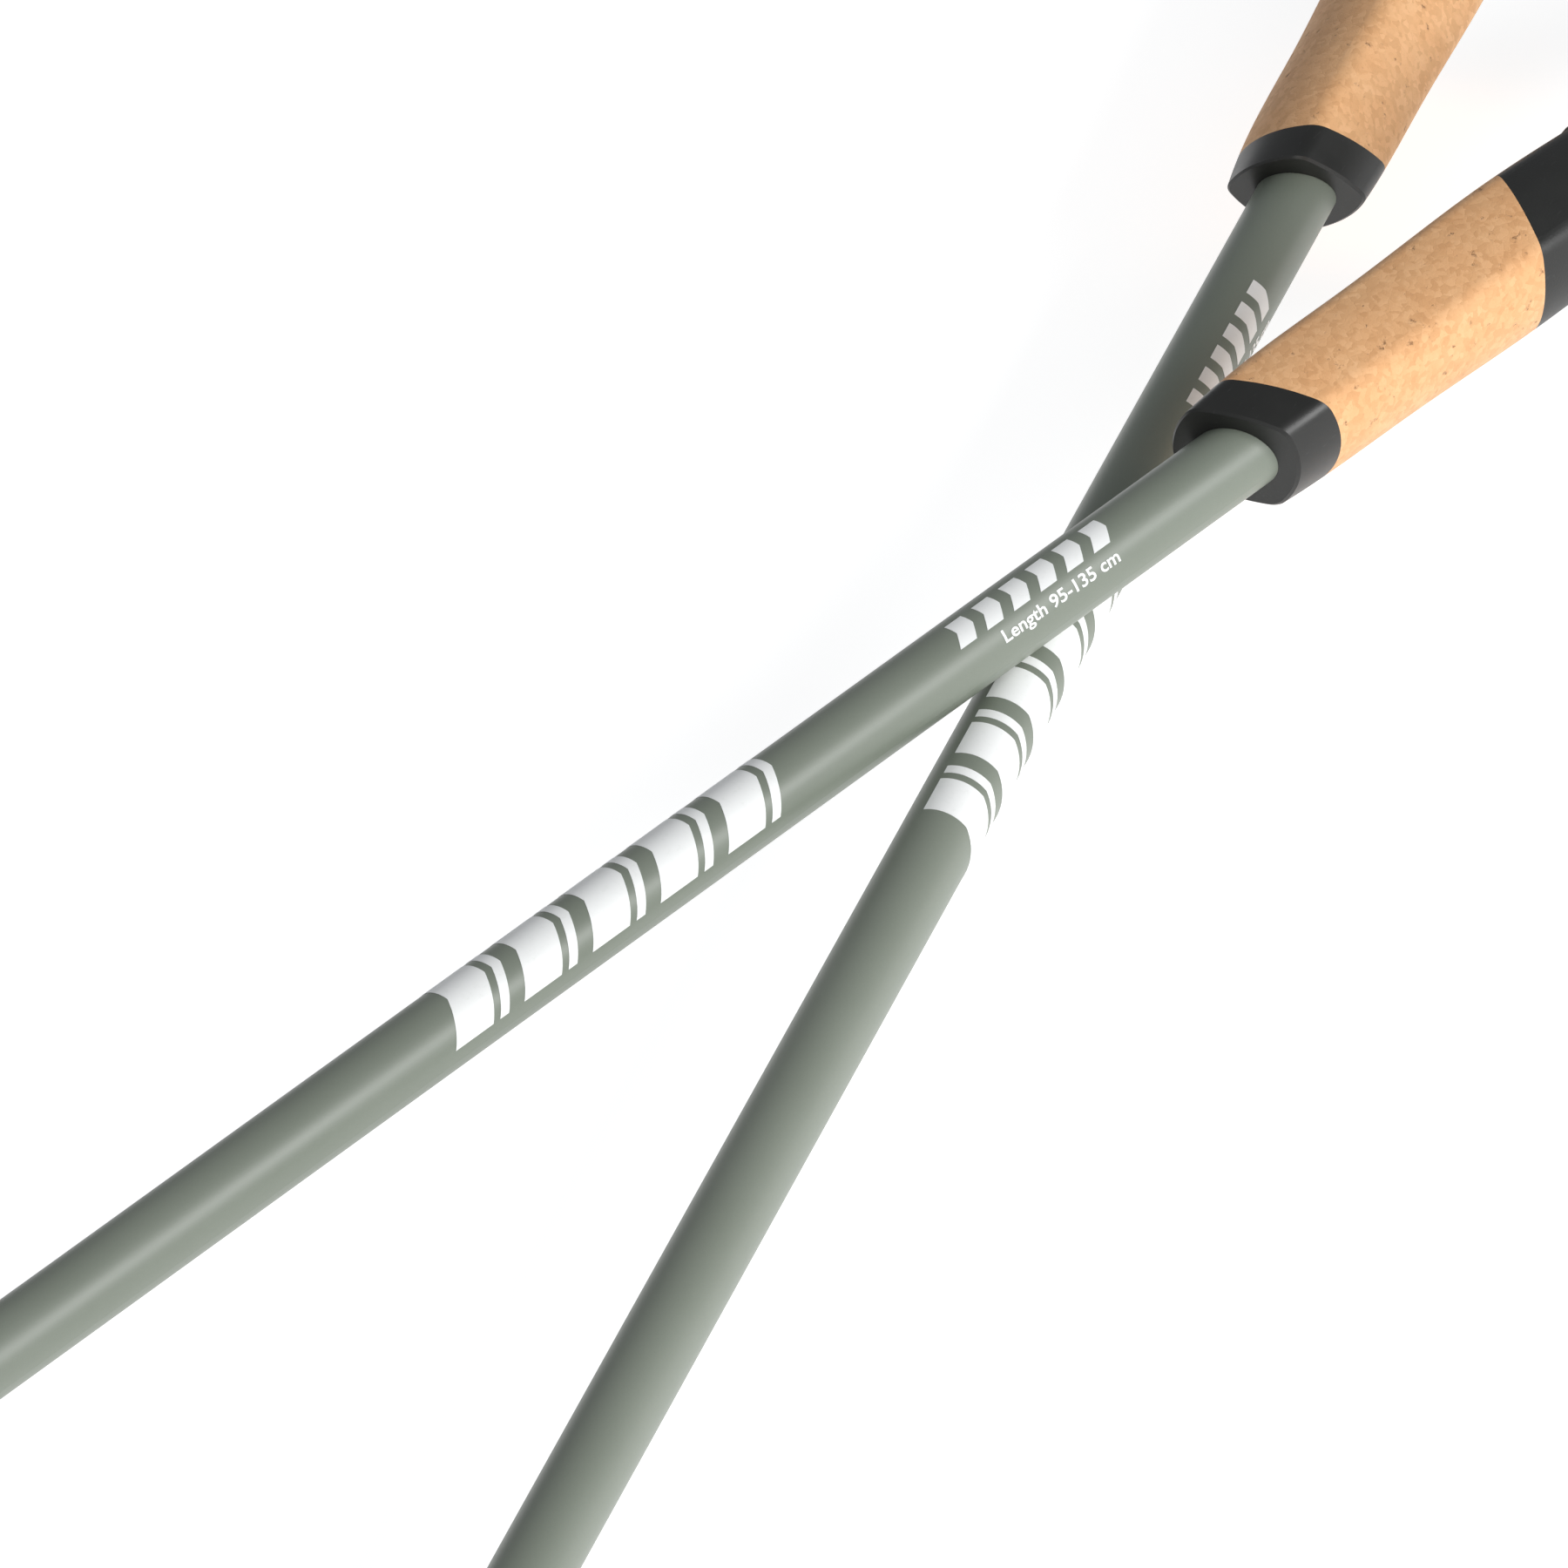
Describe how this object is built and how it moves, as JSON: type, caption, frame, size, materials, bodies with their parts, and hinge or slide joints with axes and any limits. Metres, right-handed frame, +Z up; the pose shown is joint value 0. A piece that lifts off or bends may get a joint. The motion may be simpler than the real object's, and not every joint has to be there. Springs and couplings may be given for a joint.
{
  "type": "trekking poles",
  "caption": "Pair of telescopic trekking poles with cork grips, wrist straps, lever locks, baskets and rubber feet, lying crossed.",
  "frame": {"origin": "under the middle of both poles' common box, on the ground", "axes": "+Z up; +X along the line midway between the two shafts, from the tips towards the grips; +Y to the left of +X"},
  "size_m": [1.466, 0.4108, 0.0724],
  "materials": {
    "painted_tube": "satin sage-green paint on aluminium, white printed marks",
    "lower_tube_metal": "satin dark anodised, with a printed length scale",
    "cork": "fine-grained natural cork, matt and slightly uneven",
    "collar_plastic": "semi-gloss moulded black plastic",
    "head_plastic": "fine-textured moulded black plastic",
    "pad_rubber": "soft matt dark-grey pad",
    "lock_plastic": "moulded black plastic, lightly textured",
    "lever_metal": "anodised aluminium, sage green",
    "nut_metal": "satin anodised, knurled",
    "steel": "bright zinc-plated steel",
    "bush_plastic": "black nylon",
    "ferrule_plastic": "black nylon, fine moulded texture",
    "carbide": "ground tungsten carbide, dull grey",
    "foot_rubber": "matt black rubber with a treaded sole",
    "webbing": "black woven polyester webbing, stitched"
  },
  "bodies": {
    "shaft_b": {"pole_b_grip_collar": "collar_plastic", "pole_b_grip_cork": "cork", "pole_b_grip_head": "head_plastic", "pole_b_head_pad": "pad_rubber", "pole_b_strap_pin": "steel", "pole_b_strap": "webbing", "pole_b_upper_tube": "painted_tube", "pole_b_lock_sleeve": "lock_plastic", "pole_b_lock_band": "lock_plastic", "pole_b_lock_screw": "steel", "pole_b_lever_pin": "steel"},
    "lower_b": {"pole_b_lower_tube": "lower_tube_metal", "pole_b_guide_bush": "bush_plastic", "pole_b_ferrule": "ferrule_plastic", "pole_b_carbide_tip": "carbide"},
    "lever_b": {"pole_b_lock_lever": "lever_metal"},
    "nut_b": {"pole_b_lock_nut": "nut_metal"},
    "basket_b": {"pole_b_basket": "ferrule_plastic"},
    "foot_b": {"pole_b_rubber_foot": "foot_rubber"},
    "wedge_b": {"pole_b_strap_wedge": "head_plastic"},
    "shaft_a": {"pole_a_grip_collar": "collar_plastic", "pole_a_grip_cork": "cork", "pole_a_grip_head": "head_plastic", "pole_a_head_pad": "pad_rubber", "pole_a_strap_pin": "steel", "pole_a_strap": "webbing", "pole_a_upper_tube": "painted_tube", "pole_a_lock_sleeve": "lock_plastic", "pole_a_lock_band": "lock_plastic", "pole_a_lock_screw": "steel", "pole_a_lever_pin": "steel"},
    "lower_a": {"pole_a_lower_tube": "lower_tube_metal", "pole_a_guide_bush": "bush_plastic", "pole_a_ferrule": "ferrule_plastic", "pole_a_carbide_tip": "carbide"},
    "lever_a": {"pole_a_lock_lever": "lever_metal"},
    "nut_a": {"pole_a_lock_nut": "nut_metal"},
    "basket_a": {"pole_a_basket": "ferrule_plastic"},
    "foot_a": {"pole_a_rubber_foot": "foot_rubber"},
    "wedge_a": {"pole_a_strap_wedge": "head_plastic"}
  },
  "joints": [
    {"name": "pole_a_lift", "type": "slide", "parent": "shaft_b", "child": "shaft_a", "axis": [0, 0, 1], "range_m": [0, 0.15]},
    {"name": "length_b", "type": "slide", "parent": "shaft_b", "child": "lower_b", "axis": [0.9763, 0.2164, 0.0054], "range_m": [-0.175, 0.24]},
    {"name": "lever_b", "type": "hinge", "parent": "shaft_b", "child": "lever_b", "pos_m": [-0.20764, -0.10269, 0.04697], "axis": [0.9763, 0.2164, 0.0054], "range_deg": [0, 125]},
    {"name": "tension_b", "type": "hinge", "parent": "shaft_b", "child": "nut_b", "pos_m": [-0.2031, -0.12288, 0.03502], "axis": [-0.1901, 0.8449, 0.5], "continuous": true},
    {"name": "basket_b", "type": "hinge", "parent": "lower_b", "child": "basket_b", "pos_m": [-0.55228, -0.18085, 0.025], "axis": [0.9763, 0.2164, 0.0054], "continuous": true},
    {"name": "foot_b", "type": "slide", "parent": "lower_b", "child": "foot_b", "axis": [-0.9763, -0.2164, -0.0054], "range_m": [0, 0.055]},
    {"name": "wedge_b", "type": "slide", "parent": "shaft_b", "child": "wedge_b", "axis": [-0.1128, 0.4871, 0.866], "range_m": [0, 0.009]},
    {"name": "length_a", "type": "slide", "parent": "shaft_a", "child": "lower_a", "axis": [0.976, -0.2164, 0.0248], "range_m": [-0.175, 0.24]},
    {"name": "lever_a", "type": "hinge", "parent": "shaft_a", "child": "lever_a", "pos_m": [-0.3243, 0.11933, 0.04691], "axis": [0.976, -0.2164, 0.0248], "range_deg": [0, 125]},
    {"name": "tension_a", "type": "hinge", "parent": "shaft_a", "child": "nut_a", "pos_m": [-0.32945, 0.09677, 0.05289], "axis": [0.2156, 0.9439, -0.2503], "continuous": true},
    {"name": "basket_a", "type": "hinge", "parent": "lower_a", "child": "basket_a", "pos_m": [-0.6723, 0.18085, 0.02504], "axis": [0.976, -0.2164, 0.0248], "continuous": true},
    {"name": "foot_a", "type": "slide", "parent": "lower_a", "child": "foot_a", "axis": [-0.976, 0.2164, -0.0248], "range_m": [0, 0.055]},
    {"name": "wedge_a", "type": "slide", "parent": "shaft_a", "child": "wedge_a", "axis": [0.2021, 0.9422, 0.2672], "range_m": [0, 0.009]}
  ]
}
